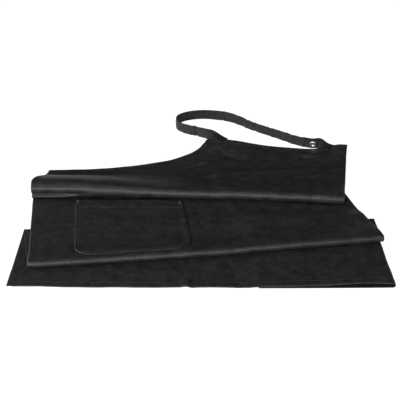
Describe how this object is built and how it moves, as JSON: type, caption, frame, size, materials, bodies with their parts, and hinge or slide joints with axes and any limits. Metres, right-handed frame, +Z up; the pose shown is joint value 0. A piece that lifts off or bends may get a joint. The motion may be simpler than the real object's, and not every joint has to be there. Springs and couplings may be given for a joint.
{
  "type": "bib apron",
  "caption": "Bib apron lying folded in a zigzag with one side folded under, a patch pocket and a neck strap with a press stud in an open loop.",
  "frame": {"origin": "middle of the folded apron's footprint, on the surface that it lies on", "axes": "+Z up, +Y from the hem at the front to the neck loop at the back, +X to the right seen from the hem"},
  "size_m": [0.6312, 0.6554, 0.0325],
  "materials": {
    "cloth": "matt black twill",
    "webbing": "matt black ribbed band",
    "stud_metal": "bright nickel"
  },
  "bodies": {
    "root": {"apron_panel": "cloth", "patch_pocket": "cloth", "neck_strap": "webbing", "strap_tab": "webbing", "snap_cap": "stud_metal", "snap_socket": "stud_metal"}
  },
  "joints": []
}
